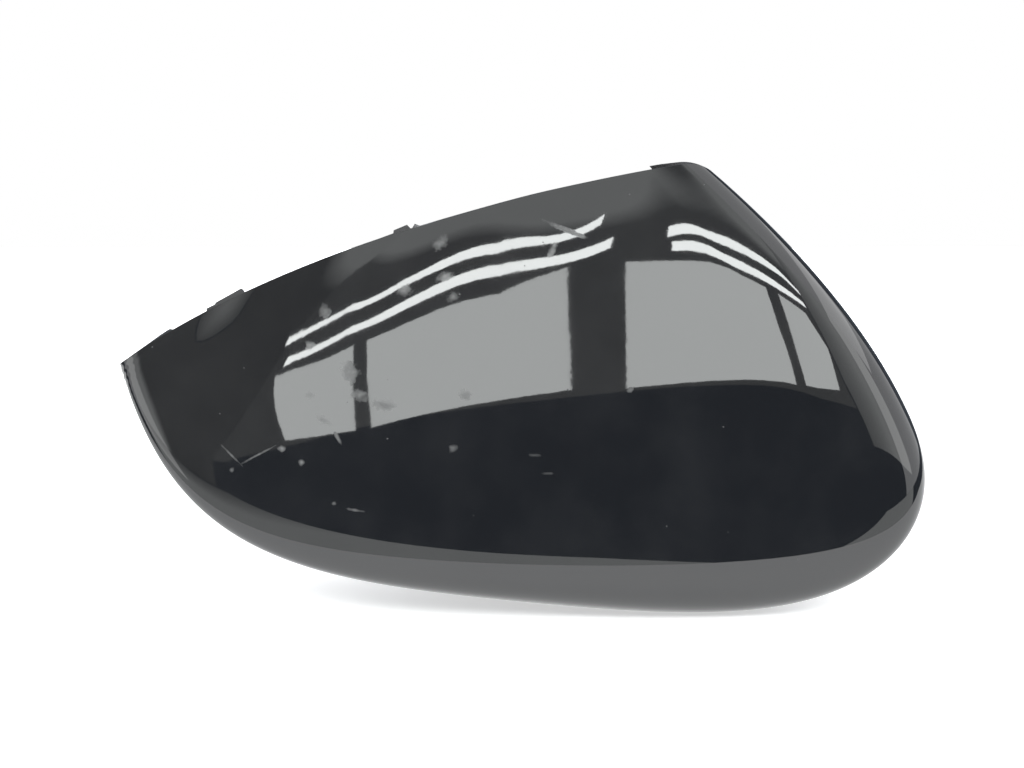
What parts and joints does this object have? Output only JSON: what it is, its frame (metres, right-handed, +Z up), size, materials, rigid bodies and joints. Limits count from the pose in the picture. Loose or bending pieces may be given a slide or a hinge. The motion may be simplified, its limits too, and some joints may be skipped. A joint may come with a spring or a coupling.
{
  "type": "wing mirror cover",
  "caption": "Gloss black moulded cover cap of a car's wing mirror: a double-curved shell with a raw inside, snap clips along its trim edge, ribs and locating pins.",
  "frame": {"origin": "middle of the underside of the part's box, as the cover stands on its roof", "axes": "+X outboard along the length, +Y back to the mirror glass, +Z up while the cover stands on its roof, which is down on the car"},
  "size_m": [0.2271, 0.0581, 0.1223],
  "materials": {
    "cover": "gloss coat outside, raw moulded inside"
  },
  "bodies": {
    "root": {"mirror_cover": "cover"}
  },
  "joints": []
}
